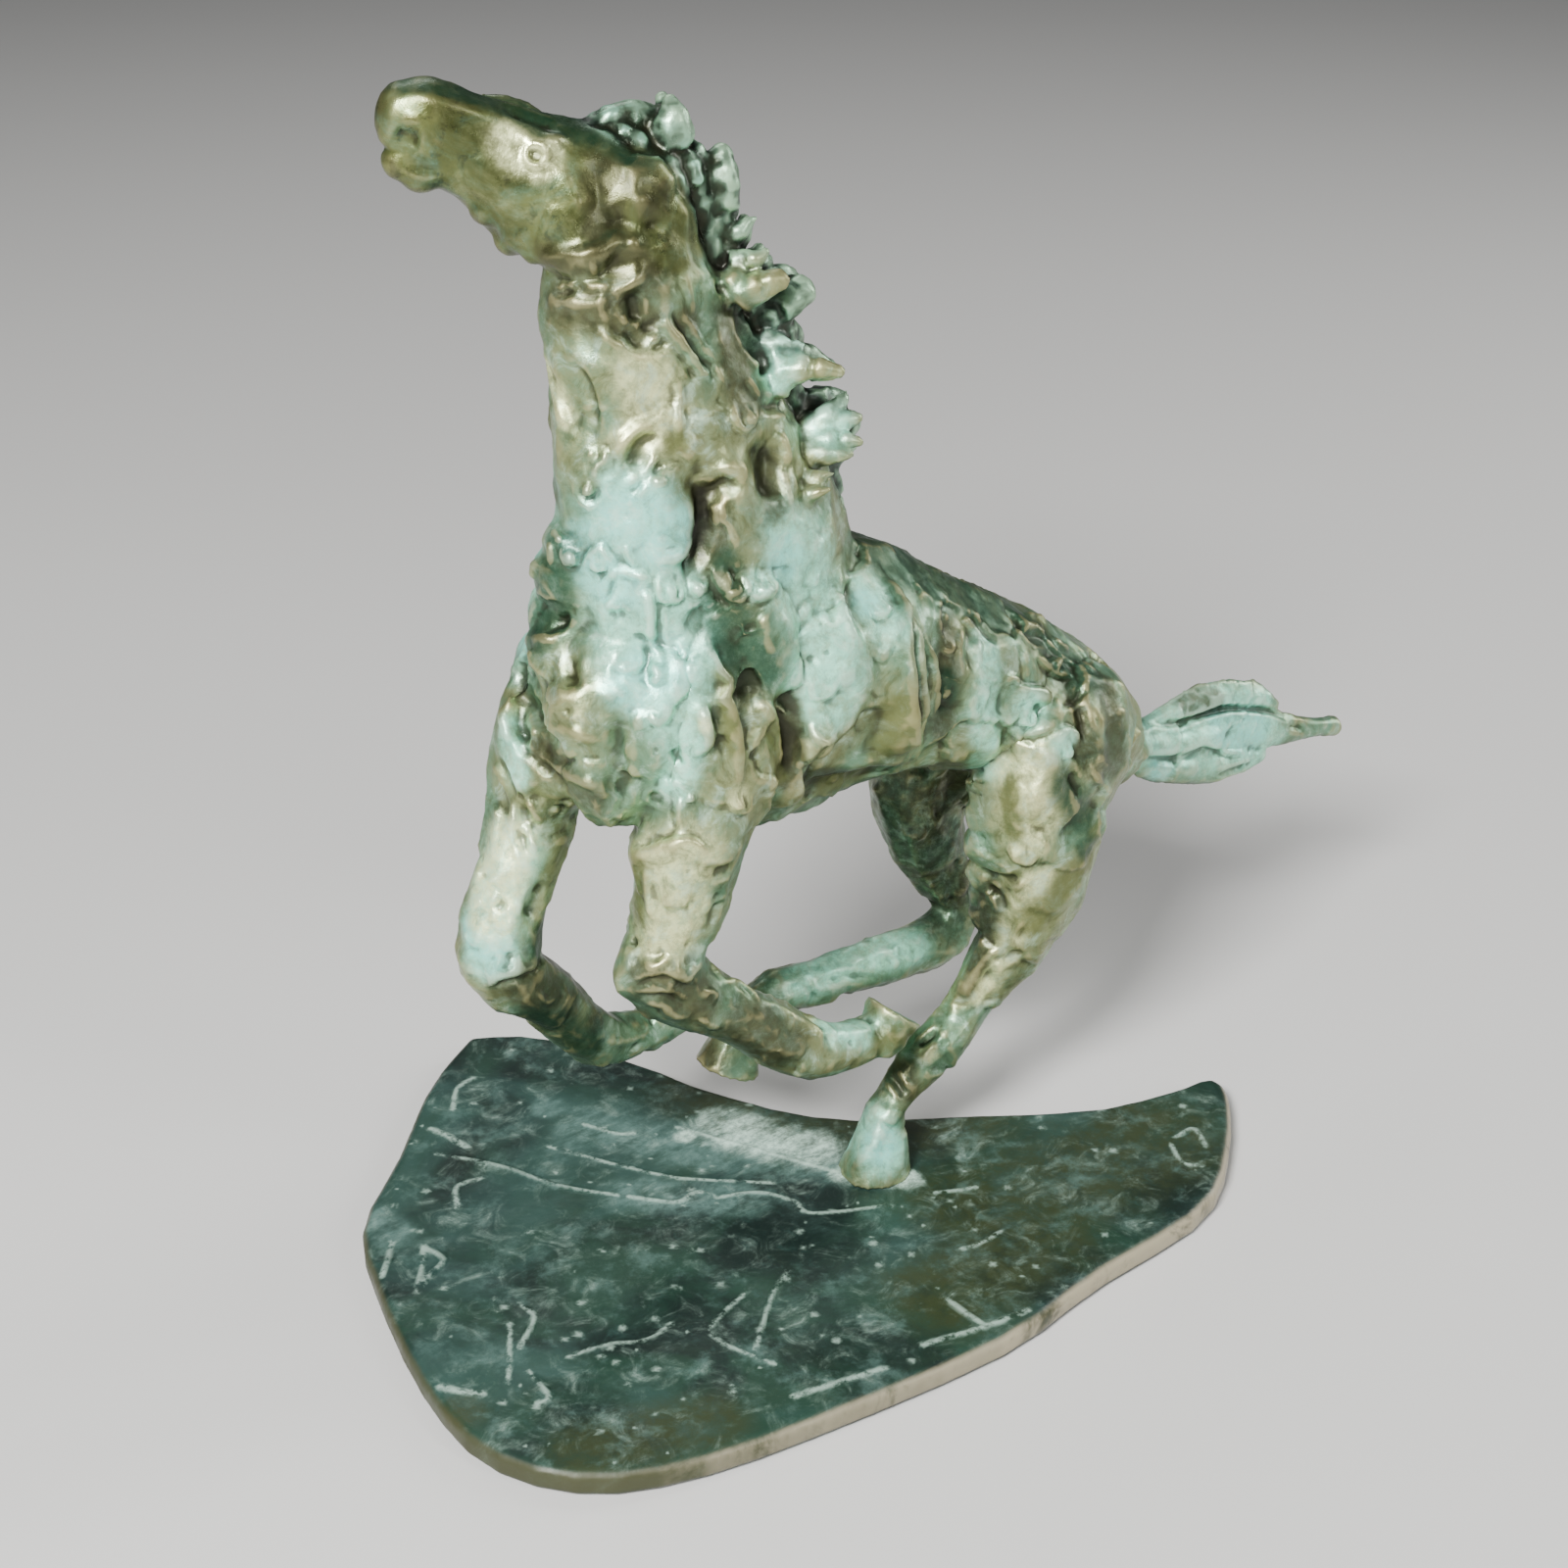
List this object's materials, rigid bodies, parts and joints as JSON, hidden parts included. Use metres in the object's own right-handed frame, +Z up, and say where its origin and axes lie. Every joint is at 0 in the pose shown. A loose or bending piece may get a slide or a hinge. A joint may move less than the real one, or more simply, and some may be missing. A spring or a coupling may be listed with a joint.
{
  "type": "bronze horse sculpture",
  "caption": "Bronze figure of a galloping horse, balanced on one planted hind hoof on a thin free-form bronze plate; a tabletop ornament that stands by its own weight.",
  "frame": {"origin": "under the middle of the whole sculpture's bounding box, on the plate's underside", "axes": "+Z up; the horse runs towards -X and its left side faces -Y"},
  "size_m": [0.3162, 0.1892, 0.2911],
  "materials": {
    "dark_bronze": "dark green patina, satin, worn pale at the rim",
    "verdigris_bronze": "pale grey-green verdigris over brown bronze, glossy"
  },
  "bodies": {
    "root": {"base_plate": "dark_bronze", "horse": "verdigris_bronze"}
  },
  "joints": []
}
